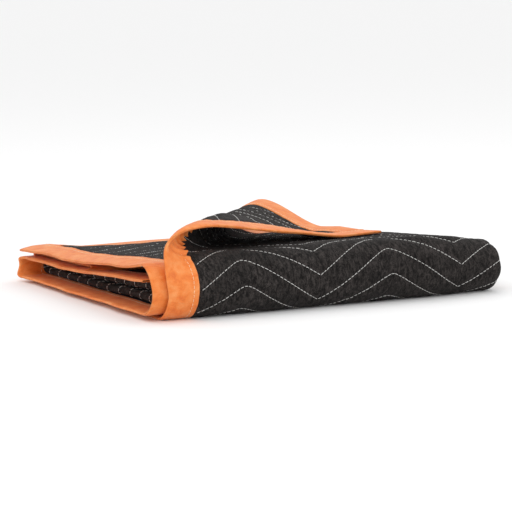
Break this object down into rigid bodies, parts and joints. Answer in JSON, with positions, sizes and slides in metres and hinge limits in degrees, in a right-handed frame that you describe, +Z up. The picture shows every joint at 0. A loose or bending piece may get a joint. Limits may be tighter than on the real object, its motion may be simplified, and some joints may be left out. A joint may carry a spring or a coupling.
{
  "type": "moving pad",
  "caption": "Quilted moving pad with bound edges, folded into a flat stack of layers, one corner of its top layer peeled back in a loose roll",
  "frame": {"origin": "the middle of the underside of the object's box, on the surface that it rests on", "axes": "+Z up; +X from the open left end with the bound edges to the folded right end, the longest side of the folded pad; +Y from the front bend to the back"},
  "size_m": [0.5491, 0.5013, 0.1214],
  "materials": {
    "quilted_cloth": "black non-woven fabric, quilted in zigzag rows with pale thread",
    "binding_tape": "orange non-woven fabric tape, folded over the edge and stitched"
  },
  "bodies": {
    "root": {"quilted_panel": "quilted_cloth", "binding_outer_side": "binding_tape", "binding_inner_side": "binding_tape", "binding_outer_end": "binding_tape", "binding_inner_end": "binding_tape"}
  },
  "joints": []
}
